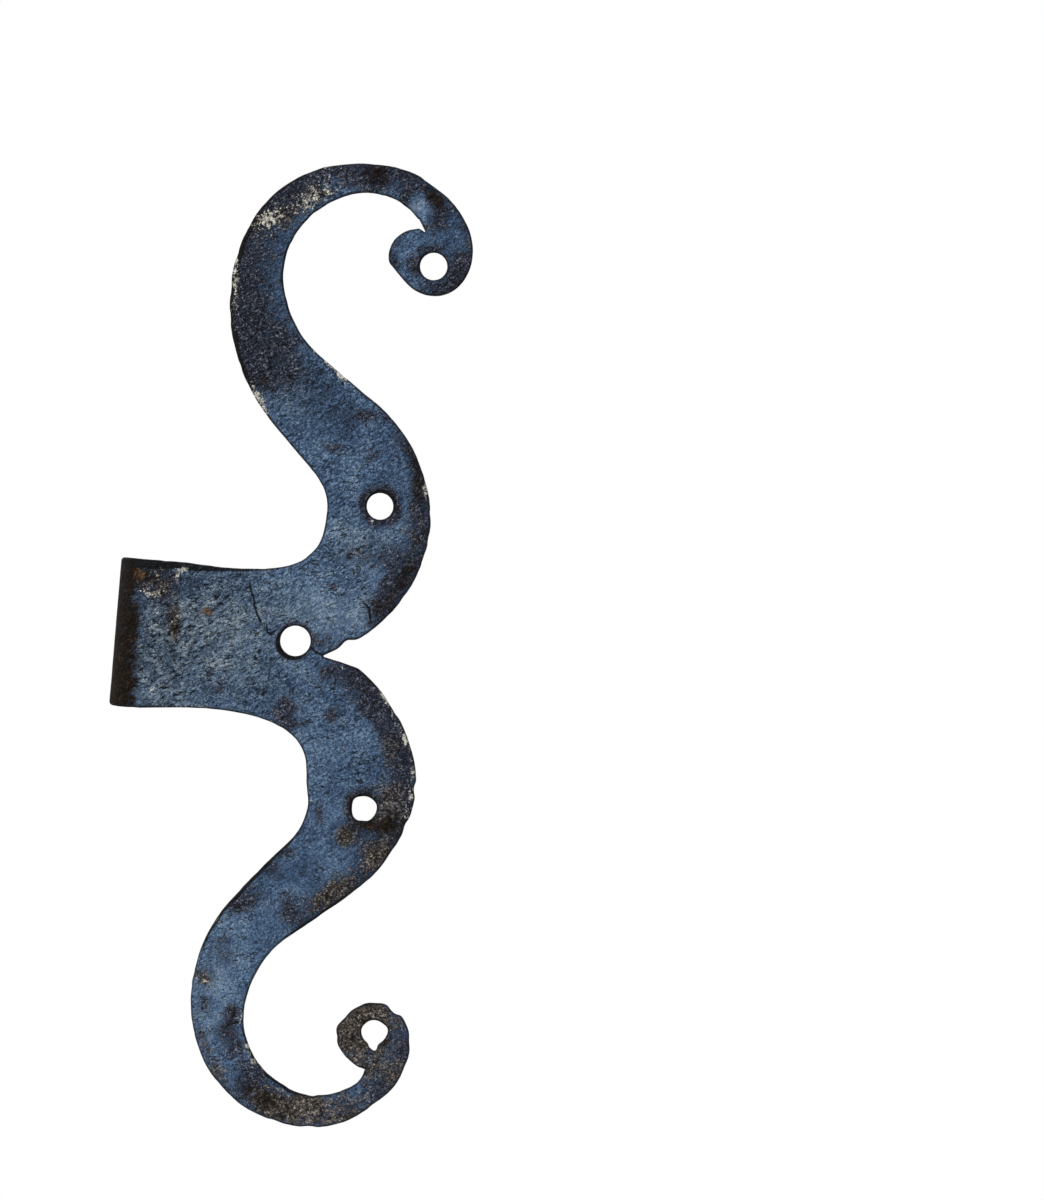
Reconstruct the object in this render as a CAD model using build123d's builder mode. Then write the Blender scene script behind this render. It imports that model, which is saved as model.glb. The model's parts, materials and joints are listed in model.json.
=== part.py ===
"""Wrought iron strap of a pintle hinge: a rolled eye, a flat leaf and two scrolled arms, forged in one.

The eye's axis is Z, the arms reach towards +X, and the face that shows looks towards -Y.
All sizes are millimetres and degrees. The sizes of an arm run from the leaf out to its scroll head.
"""

import os
from math import acos, degrees

from build123d import *

# Bar and rolled eye
strap_thickness = 3.2
tip_thickness = 2.4
bore_radius = 5.0
eye_height = 38.6
seam_gap = 0.4

# Leaf between the eye and the fork, and the chisel cut that opens the fork
leaf_length = 31.5
fork_x = 46.3
fork_z = -1.9
fork_mouth_x = 56.5
fork_upper_lip = 3.9
fork_lower_lip = -4.5

# Upper arm: edge of the leaf, then radii and turns of the bends in the arm's centre line
upper_leaf_dip = 0.3
upper_leaf_flare = 0.5
upper_lobe_in = 25.8
upper_lobe_out = 26.6
upper_slant_angle = 49.7
upper_run = 17.5
upper_bow_in = 38.5
upper_bow_out = 27.4
upper_crown = 23.8
upper_crown_angle = 35.2
upper_curl = 12.2
upper_curl_angle = 81.0

# Upper arm: widths of the bar where the bends meet, then its beaked head
upper_root_width = 24.0
upper_lobe_width = 27.2
upper_hip_width = 24.3
upper_waist_width = 21.3
upper_bow_width = 13.4
upper_crown_width = 7.9
upper_neck_width = 9.2
upper_head_radius = 9.4
upper_beak_reach = 11.9
upper_beak_angle = 188.0
upper_lid_angle = 125.0
notch_reach = 7.8
notch_angle = 113.0
notch_mouth_reach = 11.2
notch_neck_angle = 115.5
notch_beak_angle = 126.5

# Lower arm: edge of the leaf, then radii and turns of the bends in the arm's centre line
lower_leaf_dip = 1.3
lower_leaf_flare = 0.1
lower_lobe_in = 27.1
lower_lobe_out = 28.1
lower_slant_angle = 45.5
lower_run = 19.1
lower_bow_in = 34.2
lower_bow_out = 25.8
lower_crown = 20.3
lower_crown_angle = 41.3
lower_curl = 11.5
lower_curl_angle = 85.8

# Lower arm: widths of the bar where the bends meet, then its rusted head
lower_root_width = 21.9
lower_lobe_width = 28.6
lower_hip_width = 21.2
lower_waist_width = 17.8
lower_bow_width = 14.3
lower_crown_width = 8.8
lower_neck_width = 7.5
lower_head_radius = 9.0
lower_beak_reach = 9.9
lower_beak_angle = 192.0
lower_lid_angle = 129.0
rust_bite_radius = 4.0
rust_bite_depth = 0.9
rust_bite_angle = 56.0
rust_nick_radius = 1.1

# Nail holes, with the shift of each from the middle of its bar or head
leaf_nail_x = 38.5
leaf_nail_z = 1.4
leaf_nail_radius = 3.9
lobe_nail_angle = 9.0
upper_lobe_nail_radius = 3.4
upper_lobe_nail_shift = 0.4
upper_head_nail_radius = 3.5
upper_head_nail_shift = 1.6
lower_lobe_nail_radius = 3.1
lower_lobe_nail_shift = 1.6
lower_head_nail_radius = 3.1
lower_head_nail_shift = 1.0

# Details
lid_radius = 7.5
nail_rim = 0.9

# Edges that the rest is measured from
eye_radius = bore_radius + strap_thickness
eye_top = eye_height / 2
stations = (1 / 3, 2 / 3, 1)


def centre_line(side, start, bends, run):
    """Chain the tangent bends of an arm. The straight run follows the second bend."""
    chain = [JernArc(start, (1, 0), bends[0][0], side * bends[0][1])]
    for number, (radius, turn) in enumerate(bends[1:], start=1):
        if number == 2:
            chain.append(Line(chain[-1] @ 1, chain[-1] @ 1 + (chain[-1] % 1) * run))
        chain.append(JernArc(chain[-1] @ 1, chain[-1] % 1, radius, side * turn))
    return chain


def edge_points(side, chain, widths, head_radius):
    """Step half the bar's width off the centre line to both sides. The last bend swells out to the head."""
    up = Vector(0, 0, side)
    half = up.cross(chain[0] % 0) * (widths[0] / 2)
    eye_side = [chain[0] @ 0 + half]
    fork_side = [chain[0] @ 0 - half]
    for piece, begin, end in zip(chain, widths, widths[1:]):
        for along in stations:
            half = up.cross(piece % along) * ((begin + (end - begin) * along) / 2)
            eye_side.append(piece @ along + half)
            fork_side.append(piece @ along - half)
    neck = widths[-1] / 2
    for along in stations:
        normal = up.cross(chain[-1] % along)
        swell = along * along * (3 - 2 * along)
        eye_side.append(chain[-1] @ along + normal * (neck + (head_radius - neck) * swell))
        fork_side.append(chain[-1] @ along - normal * neck)
    return eye_side, fork_side


def around(centre, reach, angle):
    """A point at this reach and angle from a centre."""
    return centre + Vector(reach, 0).rotate(Axis.Z, angle)


def arm_face(side, leaf_dip, chain, widths, head_radius, beak_reach, beak_angle, lid_angle):
    """Half the leaf, one arm and its head as a flat face. The beak's flank is tangent to the head's rim."""
    eye_side, fork_side = edge_points(side, chain, widths, head_radius)
    head = chain[-1] @ 1
    beak_tip = around(head, beak_reach, side * beak_angle)
    lid_start = around(head, head_radius, side * lid_angle)
    flank_end = around(head, head_radius, side * (beak_angle + degrees(acos(head_radius / beak_reach))))
    leaf_corner = (0, side * eye_top)
    leaf_middle = (leaf_length / 2, side * (eye_top - leaf_dip))
    with BuildSketch() as face:
        with BuildLine():
            Spline(leaf_corner, leaf_middle, *eye_side)
            Line(eye_side[-1], fork_side[-1])
            Spline(*reversed(fork_side))
            fork_line = Line(fork_side[0], (0, fork_side[0].Y))
            Line(fork_line @ 1, leaf_corner)
        make_face()
        with Locations(head):
            Circle(head_radius)
        with BuildLine():
            Line(beak_tip, flank_end)
            Line(flank_end, lid_start)
            RadiusArc(lid_start, beak_tip, -side * lid_radius)
        make_face()
    return face.sketch


def lobe_nail(side, chain, slant, shift):
    """Place of the nail hole a little past the lobe's widest point, shifted towards the fork's side."""
    along = lobe_nail_angle / slant
    return chain[1] @ along - Vector(0, 0, side).cross(chain[1] % along) * shift


upper_bends = (
    (upper_lobe_in, 90),
    (upper_lobe_out, upper_slant_angle),
    (upper_bow_in, -upper_slant_angle),
    (upper_bow_out, -90),
    (upper_crown, -upper_crown_angle),
    (upper_curl, -upper_curl_angle),
)
upper_widths = (
    upper_root_width,
    upper_lobe_width,
    upper_hip_width,
    upper_waist_width,
    upper_bow_width,
    upper_crown_width,
    upper_neck_width,
)
upper_root = (leaf_length, eye_top + upper_leaf_flare - upper_root_width / 2)
upper_chain = centre_line(1, upper_root, upper_bends, upper_run)
upper_head = upper_chain[-1] @ 1
upper_face = arm_face(
    1,
    upper_leaf_dip,
    upper_chain,
    upper_widths,
    upper_head_radius,
    upper_beak_reach,
    upper_beak_angle,
    upper_lid_angle,
)

lower_bends = (
    (lower_lobe_in, 90),
    (lower_lobe_out, lower_slant_angle),
    (lower_bow_in, -lower_slant_angle),
    (lower_bow_out, -90),
    (lower_crown, -lower_crown_angle),
    (lower_curl, -lower_curl_angle),
)
lower_widths = (
    lower_root_width,
    lower_lobe_width,
    lower_hip_width,
    lower_waist_width,
    lower_bow_width,
    lower_crown_width,
    lower_neck_width,
)
lower_root = (leaf_length, -eye_top - lower_leaf_flare + lower_root_width / 2)
lower_chain = centre_line(-1, lower_root, lower_bends, lower_run)
lower_head = lower_chain[-1] @ 1
lower_face = arm_face(
    -1,
    lower_leaf_dip,
    lower_chain,
    lower_widths,
    lower_head_radius,
    lower_beak_reach,
    lower_beak_angle,
    lower_lid_angle,
)

fork_cut = ((fork_x, fork_z), (fork_mouth_x, fork_upper_lip), (fork_mouth_x, fork_lower_lip))
notch_tip = around(upper_head, notch_reach, notch_angle)
notch_neck = around(upper_head, notch_mouth_reach, notch_neck_angle)
notch_beak = around(upper_head, notch_mouth_reach, notch_beak_angle)
rust_bite = around(lower_head, lower_head_radius + rust_bite_radius - rust_bite_depth, rust_bite_angle)
lower_head_nail = lower_head + Vector(0, lower_head_nail_shift)
rust_nick = lower_head_nail - Vector(0, lower_head_nail_radius)
nails = (
    ((leaf_nail_x, leaf_nail_z), leaf_nail_radius),
    (lobe_nail(1, upper_chain, upper_slant_angle, upper_lobe_nail_shift), upper_lobe_nail_radius),
    (lobe_nail(-1, lower_chain, lower_slant_angle, lower_lobe_nail_shift), lower_lobe_nail_radius),
    (upper_head - Vector(0, upper_head_nail_shift), upper_head_nail_radius),
    (lower_head_nail, lower_head_nail_radius),
)
arm_reach = max(upper_head.Y, -lower_head.Y) + 4 * max(upper_head_radius, lower_head_radius)

rim_align = (Align.CENTER, Align.CENTER, Align.MAX)
seam_align = (Align.MIN, Align.MIN)

with BuildPart() as hinge_strap:
    # The flat blank: both arms and the leaf in one, split at the fork and pierced for nails
    with BuildSketch(Plane.XZ.offset(bore_radius)):
        add(upper_face)
        add(lower_face)
        with BuildLine():
            Polyline(*fork_cut, close=True)
        make_face(mode=Mode.SUBTRACT)
        with BuildLine():
            Polyline(notch_tip, notch_neck, notch_beak, close=True)
        make_face(mode=Mode.SUBTRACT)
        with Locations(rust_bite):
            Circle(rust_bite_radius, mode=Mode.SUBTRACT)
        with Locations(rust_nick):
            Circle(rust_nick_radius, mode=Mode.SUBTRACT)
        for place, radius in nails:
            with Locations(place):
                Circle(radius, mode=Mode.SUBTRACT)
    extrude(amount=2 * strap_thickness)

    # The arms drawn out thinner towards their heads. The back stays flat
    with BuildSketch(Plane.YZ):
        with BuildLine():
            tip_front = -bore_radius - tip_thickness
            Line((-bore_radius, -arm_reach), (-bore_radius, arm_reach))
            Line((-bore_radius, arm_reach), (tip_front, arm_reach))
            TangentArc((-eye_radius, eye_top), (tip_front, arm_reach), tangent=(0, 1))
            Line((-eye_radius, eye_top), (-eye_radius, -eye_top))
            TangentArc((-eye_radius, -eye_top), (tip_front, -arm_reach), tangent=(0, -1))
            Line((tip_front, -arm_reach), (-bore_radius, -arm_reach))
        make_face()
    extrude(amount=arm_reach, mode=Mode.INTERSECT)

    # The eye, rolled to the back until its tail almost meets the leaf
    with BuildSketch(Plane.XY.offset(-eye_top)):
        Circle(eye_radius)
        Circle(bore_radius, mode=Mode.SUBTRACT)
        with Locations((0, -eye_radius)):
            Rectangle(eye_radius, strap_thickness + seam_gap, align=seam_align, mode=Mode.SUBTRACT)
    extrude(amount=eye_height)

    # Nail holes of the leaf and the lobes opened out at the front
    with Locations(Plane.XZ.offset(eye_radius).location):
        for place, radius in nails[:3]:
            with Locations(place):
                Cone(radius, radius + nail_rim, nail_rim, align=rim_align, mode=Mode.SUBTRACT)

hinge_strap.part.label = "hinge_strap"
os.makedirs("parts", exist_ok=True)
export_step(hinge_strap.part, "parts/hinge_strap.step")
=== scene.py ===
# %% [markdown]
# # A forged strap of a pintle hinge
#
# The object is one piece of wrought iron. A smith split the end of a flat bar, drew the two halves
# out into scrolled arms, pierced them for nails, and rolled the other end into an eye for the pintle.
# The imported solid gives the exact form. This script lays a worn iron skin over that form: edges rounded
# by the hammer, a surface that is uneven and pitted, and a blue-black oxide with rust and lime on it.

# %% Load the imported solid
import json

import bpy
import numpy as np
from mathutils import Matrix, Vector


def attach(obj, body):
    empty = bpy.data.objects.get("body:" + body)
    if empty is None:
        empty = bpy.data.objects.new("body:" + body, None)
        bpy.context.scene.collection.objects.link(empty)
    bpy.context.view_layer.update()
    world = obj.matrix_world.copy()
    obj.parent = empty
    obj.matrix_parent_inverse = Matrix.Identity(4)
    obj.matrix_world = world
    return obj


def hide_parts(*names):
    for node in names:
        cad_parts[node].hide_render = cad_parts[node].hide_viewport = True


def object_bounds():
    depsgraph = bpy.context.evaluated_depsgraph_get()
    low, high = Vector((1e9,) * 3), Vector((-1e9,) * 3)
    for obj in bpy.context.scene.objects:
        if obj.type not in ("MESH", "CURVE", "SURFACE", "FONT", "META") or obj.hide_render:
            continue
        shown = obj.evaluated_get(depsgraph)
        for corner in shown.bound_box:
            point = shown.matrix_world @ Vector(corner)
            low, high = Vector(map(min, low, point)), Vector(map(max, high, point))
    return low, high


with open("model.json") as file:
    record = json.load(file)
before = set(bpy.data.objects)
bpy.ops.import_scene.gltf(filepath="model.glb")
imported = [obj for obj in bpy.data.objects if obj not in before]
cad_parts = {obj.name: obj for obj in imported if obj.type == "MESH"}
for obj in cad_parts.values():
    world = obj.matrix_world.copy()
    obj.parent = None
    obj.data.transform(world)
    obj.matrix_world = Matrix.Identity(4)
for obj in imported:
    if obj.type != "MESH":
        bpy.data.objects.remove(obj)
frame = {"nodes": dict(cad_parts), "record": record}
cad_low, cad_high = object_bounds()
MM = 0.001
print("solid from", [round(v / MM, 2) for v in cad_low], "to", [round(v / MM, 2) for v in cad_high], "mm")

# %% [markdown]
# ## The flat blank
#
# Before it was rolled, the strap was a flat blank. Its outline is still there, on the flat back of the
# leaf and arms. A mesh of the solid is made of loose triangles, and an edge that only one triangle of
# the back has is an edge of the blank. The rolled eye is laid out flat again as a plain strip that goes
# on from the leaf, so the whole strap can be worked as one sheet with two coordinates: along, which is
# X on the leaf and arms and runs on to minus values round the eye, and up, which is Z.

# %% Read the outline of the blank from the solid
solid = frame["nodes"]["hinge_strap"].data
solid.calc_loop_triangles()
corner = np.empty(3 * len(solid.loop_triangles), np.int32)
solid.loop_triangles.foreach_get("vertices", corner)
place = np.empty(3 * len(solid.vertices), np.float32)
solid.vertices.foreach_get("co", place)
triangles = (place.reshape(-1, 3) / MM)[corner].reshape(-1, 3, 3)

eye_outside = -cad_low.y / MM
eye_mount = next(m for m in frame["record"]["mounts"] if m["name"] == "pintle_eye")
eye_bore = eye_mount["dims"]["r_mm"]
iron = eye_outside - eye_bore
eye_top = triangles[triangles[:, :, 0].max(axis=1) < 0][:, :, 2].max()

# How near in millimetres a point counts as on the back, or on the line where the eye starts
NEAR_BACK, NEAR_EYE = 0.02, 0.01
facing = np.cross(triangles[:, 1] - triangles[:, 0], triangles[:, 2] - triangles[:, 0])[:, 1]
on_back = (np.abs(triangles[:, :, 1] + eye_bore).max(axis=1) < NEAR_BACK) & (facing > 0)
back = np.round(triangles[on_back][:, :, [0, 2]].astype(float), 3)
points, number = np.unique(back.reshape(-1, 2), axis=0, return_inverse=True)
number = number.reshape(-1, 3)
sides = np.sort(np.stack([number, np.roll(number, -1, axis=1)], axis=-1).reshape(-1, 2), axis=1)
sides, uses = np.unique(sides, axis=0, return_counts=True)
start, end = points[sides[uses == 1, 0]], points[sides[uses == 1, 1]]
print(len(start), "edges round the back")
print("bar", round(iron, 2), "mm thick, eye", round(2 * float(eye_top), 2), "mm high")

# %% Lay the eye out flat
eye_roll = (eye_outside + eye_bore) / 2
TAIL_DEGREES = 331
tail_turn = np.radians(TAIL_DEGREES)
strip = eye_roll * tail_turn
at_eye = (np.abs(start[:, 0]) < NEAR_EYE) & (np.abs(end[:, 0]) < NEAR_EYE)
tail = np.array([(0, eye_top), (-strip, eye_top), (-strip, -eye_top), (0, -eye_top)])
start = np.vstack([start[~at_eye], tail[:-1]])
end = np.vstack([end[~at_eye], tail[1:]])
print("eye unrolls to a strip", round(strip, 1), "mm long; edges left out there:", int(at_eye.sum()))

# %% [markdown]
# ## Depth inside the outline
#
# Everything that happens to an edge, such as wear, rust and rounding, depends on how far a point is
# from it. One table over the flat blank holds that depth: above zero inside, below zero outside.

# %% Work out the depth on a grid
# Width of a square of the grid, and room round the outline, in millimetres
STEP = 0.52
MARGIN = 2
along_axis = np.arange(-strip - MARGIN, cad_high.x / MM + MARGIN, STEP)
up_axis = np.arange(cad_low.z / MM - MARGIN, cad_high.z / MM + MARGIN, STEP)
ALONG, UP = np.meshgrid(along_axis, up_axis, indexing="ij")


def depth_inside(along, up):
    """Distance to the nearest edge of the outline: a foot on each edge, held between its ends.

    The sign comes from a line drawn to the right: inside, it crosses the outline an odd number of times.
    """
    run = end - start
    x, y = along[:, None] - start[:, 0], up[:, None] - start[:, 1]
    foot = np.clip((x * run[:, 0] + y * run[:, 1]) / (run**2).sum(axis=1), 0, 1)
    gap = (x - foot * run[:, 0]) ** 2 + (y - foot * run[:, 1]) ** 2
    spans = (start[:, 1] > up[:, None]) != (end[:, 1] > up[:, None])
    rise = np.where(run[:, 1] == 0, 1, run[:, 1])
    crossing = start[:, 0] + y * run[:, 0] / rise
    inside = (spans & (crossing > along[:, None])).sum(axis=1) % 2 == 1
    return np.where(inside, 1, -1) * np.sqrt(gap.min(axis=1))


depth = np.stack([depth_inside(a, u) for a, u in zip(ALONG, UP)])
print("grid", depth.shape, "deepest point", round(float(depth.max()), 1), "mm from an edge")

# %% [markdown]
# ## Hammer, chisel and rust
#
# The hammer leaves shallow dents as wide as a finger, scale and rust leave pits of a millimetre or two,
# and the edges are eaten back unevenly. Each is a sum of smooth random hills. The seeds are fixed, so
# the strap is the same each time. Iron is only ever taken off, so the skin stays inside the solid.

# %% Random hills, and named places on the strap
# Random numbers along each side of the table, which repeats past them, and a shift of its origin
CORNERS = 128
SHIFT = 40


def hills(along, up, size, seed):
    """Smooth random heights from 0 to 1: one random number at each corner of squares of the given size.

    Between the corners the heights are joined with the curve 3t^2 - 2t^3 in both directions.
    """
    heights = np.random.default_rng(seed).random((CORNERS, CORNERS))
    a, u = along / size + SHIFT, up / size + SHIFT
    i, j = np.floor(a).astype(int), np.floor(u).astype(int)
    ta, tu = a - i, u - j
    ta, tu = ta * ta * (3 - 2 * ta), tu * tu * (3 - 2 * tu)
    i, j, i2, j2 = i % CORNERS, j % CORNERS, (i + 1) % CORNERS, (j + 1) % CORNERS
    low = heights[i, j] * (1 - ta) + heights[i2, j] * ta
    high = heights[i, j2] * (1 - ta) + heights[i2, j2] * ta
    return low * (1 - tu) + high * tu


def patch(along, up, places):
    """Soft patches that add up to 1 at most: exp(-r^2) of the distance from each centre in its own radii.

    A place is (along, up, radius along its axis, radius across, turn of the axis in degrees, strength).
    """
    total = np.zeros(along.shape)
    for a, u, long, short, turn, strength in places:
        c, s = np.cos(np.radians(turn)), np.sin(np.radians(turn))
        x, y = along - a, up - u
        square = ((x * c + y * s) / long) ** 2 + ((y * c - x * s) / short) ** 2
        total = 1 - (1 - total) * (1 - strength * np.exp(-square))
    return total


def step_between(low, high, value):
    """0 below low, 1 above high, and 3t^2 - 2t^3 between them."""
    t = np.clip((value - low) / (high - low), 0, 1)
    return t * t * (3 - 2 * t)


# %% Rust places, and how far the edges are eaten back
CORRODED = [
    (67, -98, 11, 11, 0, 0.8), (60, -41, 9, 8, 0, 0.6), (66, -42, 8, 14, 0, 0.7),
    (55, -118, 16, 6, 5, 0.7), (31, -100, 8, 5, -60, 0.6), (18, 85, 30, 5, 95, 0.3),
    (29, 113, 12, 8, 45, 0.35), (60, 120, 12, 6, -10, 0.4), (66, 33, 18, 7, 95, 0.4),
    (70, -30, 24, 5, 100, 0.6), (5, 12, 10, 7, 0, 0.5), (20, -84, 18, 5, 95, 0.4),
]
corroded = patch(ALONG, UP, CORRODED)
eaten = 0.22 * hills(ALONG, UP, 5.0, 11) ** 2 + 0.10 * hills(ALONG, UP, 1.8, 12)
bites = step_between(0.45, 0.9, hills(ALONG, UP, 3.1, 13))
eaten += corroded * (0.75 * bites + 0.15 * hills(ALONG, UP, 1.5, 14))
print(len(CORRODED), "rust places")

# %% Nail holes, by centre and radius, and how much of their rims is spared
HOLES = [(38.5, 1.4, 3.9), (57.4, 37.8, 3.4), (59.8, -40.2, 3.1), (66.0, 100.7, 3.5), (67.1, -97.5, 3.1)]
GUARD = 0.85
for a, u, radius in HOLES:
    eaten *= 1 - GUARD * step_between(radius + 2.4, radius + 0.8, np.hypot(ALONG - a, UP - u))
print(len(HOLES), "nail holes")

# %% Single bites, and the narrower tail of the eye
NIBBLED = [
    (51.9, 2.1, 1.7, 1.7, 0, 2.1), (70.6, -96.6, 1.2, 1.6, 0, 0.6), (58.3, -43.1, 0.9, 0.9, 0, 0.7),
    (61.1, -43.0, 0.9, 0.9, 0, 0.7), (57.2, -38.0, 1.5, 1.5, 0, 0.6), (57.6, -42.6, 1.5, 1.5, 0, 0.6),
    (62.6, -39.2, 1.3, 1.3, 0, 0.4), (58.0, -99.4, 1.2, 1.2, 0, 0.5), (59.9, -103.9, 2.2, 1.6, -45, 0.4),
    (58.8, -94.3, 1.8, 1.6, 0, 0.4), (62.4, -91.2, 2.2, 1.6, 0, 0.4), (66.7, -90.1, 1.5, 1.2, 0, 0.3),
]
eaten += patch(ALONG, UP, NIBBLED)
TAIL_LOSS = 1.3
TAIL_HALF = 19
eaten += TAIL_LOSS * step_between(-16, -30, ALONG) * step_between(0, TAIL_HALF, np.abs(UP))
edge = depth - eaten
slope = np.stack(np.gradient(edge, STEP), axis=-1)
print("edges eaten back by", round(float(eaten[np.abs(depth) < 1].mean()), 2), "mm on average")

# %% Cracks, and other lines that run over the face
LINES = {
    "hairline": [(25.7, 14.5), (26.3, 12.8), (27.1, 11.2), (27.2, 9.7), (28.0, 7.8), (29.1, 5.7)],
    "split": [(42.8, 0.0), (44.3, -1.2), (46.4, -1.9)],
    "curl": [(30.9, 4.1), (31.2, 3.0), (32.2, 2.6), (33.0, 3.5)],
    "flake": [(55.8, 12.3), (56.9, 11.2), (57.3, 8.9)],
    "gouge": [(29.5, -98.9), (30.9, -98.1), (32.2, -97.9)],
}
line_start = np.array([p for line in LINES.values() for p in line[:-1]])
line_end = np.array([p for line in LINES.values() for p in line[1:]])


def beside_lines(along, up):
    """Distance to the nearest run of the lines: a foot on each run, held between its ends.

    It counts as below zero on the right of the run, so that it passes evenly through zero on the line.
    """
    run = line_end - line_start
    x, y = along[..., None] - line_start[:, 0], up[..., None] - line_start[:, 1]
    foot = np.clip((x * run[:, 0] + y * run[:, 1]) / (run**2).sum(axis=1), 0, 1)
    gap = np.hypot(x - foot * run[:, 0], y - foot * run[:, 1])
    side = np.sign(run[:, 0] * y - run[:, 1] * x)
    nearest = gap.argmin(axis=-1)[..., None]
    return np.take_along_axis(gap * side, nearest, axis=-1)[..., 0]


beside = beside_lines(ALONG, UP)
print(len(LINES), "lines on the face")

# %% Dents and pits in the front and the back
dents = 0.14 * hills(ALONG, UP, 9.0, 21) + 0.16 * hills(ALONG, UP, 4.3, 22) ** 2
dents *= step_between(-12, 2, ALONG) * 0.7 + 0.3
ROUGH_LEAF = [(8, 0, 14, 22, 0, 1.0)]
rough = 0.35 + 0.65 * np.clip(corroded + 3.0 * patch(ALONG, UP, ROUGH_LEAF), 0, 3.0)
rough *= step_between(-6, 1, ALONG) * 0.7 + 0.3
pits = step_between(0.62, 0.9, hills(ALONG, UP, 1.9, 23)) * 0.22 + 0.14 * hills(ALONG, UP, 1.3, 24)
cracks = 0.3 * np.exp(-((beside / 0.45) ** 2))
front = dents + rough * pits + cracks
back_dents = 0.20 * hills(ALONG, UP, 10.0, 31)
back_dents += (0.25 + 0.5 * corroded) * 0.22 * hills(ALONG, UP, 2.1, 32)
print("face dented by up to", round(float(front[edge > 1].max()), 2), "mm")

# %% The taper of the arms and the scarf of the eye's tail
TIP_LOSS = 0.8
ARM_LENGTH = 120.6
taper = TIP_LOSS * (np.clip(np.abs(UP) - eye_top, 0, None) / ARM_LENGTH) ** 2
SEAM = 0.4
turn = np.clip(-ALONG / eye_roll, 0, tail_turn)
facing_leaf = np.cos(2 * np.pi - turn)
SCARF_FROM = np.radians(280)
scarf = np.where(turn > SCARF_FROM, eye_outside - (eye_bore - SEAM) / np.clip(facing_leaf, 0.2, 1), 0)
front_depth = np.maximum(taper, np.clip(scarf, 0, None))
LEAST_SPARE = 0.05
spare = np.clip((iron - front_depth) / iron, LEAST_SPARE, 1)
front_depth = front_depth + front * spare
back_depth = iron - back_dents * spare
print("thinnest place", round(float((back_depth - front_depth)[edge > 1].min()), 2), "mm")

# %% [markdown]
# ## The skin
#
# The front is a grid over the blank, cut off a little inside the outline. Grid points that fall outside
# are pulled back onto that line, so the border is smooth without a new mesh. A rounded profile is then
# carried along the border, over the edge, down the side and under to the back, which has the same grid.
# Last, the sheet is bent: the leaf and arms stay flat and the strip rolls up into the eye. A remeshed
# copy of the solid would have been quicker, but it blurs the edges and costs four times the faces.


# %% Helpers that read a table between its grid points
def between(table, along, up):
    """Value of a table at any point: the four grid values around it, weighted by nearness."""
    a = np.clip((along - along_axis[0]) / STEP, 0, len(along_axis) - 1.001)
    u = np.clip((up - up_axis[0]) / STEP, 0, len(up_axis) - 1.001)
    i, j = a.astype(int), u.astype(int)
    ta, tu = a - i, u - j
    if table.ndim == 3:
        ta, tu = ta[:, None], tu[:, None]
    low = table[i, j] * (1 - ta) + table[i + 1, j] * ta
    high = table[i, j + 1] * (1 - ta) + table[i + 1, j + 1] * ta
    return low * (1 - tu) + high * tu


def bend(along, up, below):
    """Flat sheet to strap, with below as the depth under its face.

    Past zero it rolls round the eye's axis: the angle is length over radius, and depth shortens the radius.
    """
    angle = np.clip(-along / eye_roll, 0, None)
    radius = eye_outside - below
    x = np.where(along > 0, along, -radius * np.sin(angle))
    y = -radius * np.cos(angle)
    return np.stack([x, y, up], axis=-1) * MM


# %% Front grid, with its border pulled onto the inset line
ROUND = 0.9
kept = edge > ROUND
cells = kept[:-1, :-1] | kept[1:, :-1] | kept[1:, 1:] | kept[:-1, 1:]
used = np.zeros(edge.shape, bool)
for a, u in ((0, 0), (1, 0), (1, 1), (0, 1)):
    used[a : a + cells.shape[0], u : u + cells.shape[1]] |= cells
index = np.full(edge.shape, -1)
index[used] = np.arange(used.sum())
flat = np.stack([ALONG[used], UP[used]], axis=-1)
outside = ~kept[used]
PULLS = 6
LEAST_SLOPE_SQUARED = 0.3
for _ in range(PULLS):
    here = between(slope, flat[:, 0], flat[:, 1])
    short = ROUND - between(edge, flat[:, 0], flat[:, 1])
    pull = here * (short / np.clip((here**2).sum(axis=1), LEAST_SLOPE_SQUARED, None))[:, None]
    flat = flat + np.where(outside[:, None], np.clip(pull, -STEP, STEP), 0)
i, j = np.nonzero(cells)
front_faces = np.stack([index[i, j], index[i + 1, j], index[i + 1, j + 1], index[i, j + 1]], axis=-1)
print(len(flat), "points and", len(front_faces), "faces on the front")

# %% Border of the grid
ways = np.stack([front_faces, np.roll(front_faces, -1, axis=1)], axis=-1).reshape(-1, 2)
key = ways[:, 0] * len(flat) + ways[:, 1]
border = ways[~np.isin(key, ways[:, 1] * len(flat) + ways[:, 0])]
ring = np.unique(border[:, 0])
on_ring = np.full(len(flat), -1)
on_ring[ring] = np.arange(len(ring))
outward = -between(slope, flat[ring, 0], flat[ring, 1])
outward /= np.linalg.norm(outward, axis=1)[:, None]
print(len(ring), "points on the border,", len(border) - len(ring), "that meet twice")

# %% Profile of the edge, carried along the border
UNDER = 0.4
# Depth of the ring halfway down the side
SIDE = 1.9
arc = np.radians([22.5, 45, 67.5, 90])
under = np.radians([45, 90])
inset = np.concatenate([ROUND * (1 - np.sin(arc)), [0], UNDER * (1 - np.cos(under))])
share = np.concatenate([ROUND * (1 - np.cos(arc)), [SIDE], iron - UNDER + UNDER * np.sin(under)]) / iron
rim = flat[ring][None] + (ROUND - inset)[:, None, None] * outward[None]
rim_depth = np.repeat(share[:, None], len(ring), axis=1)
print("edge rounded over", ROUND, "mm in", len(inset), "steps")

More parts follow.
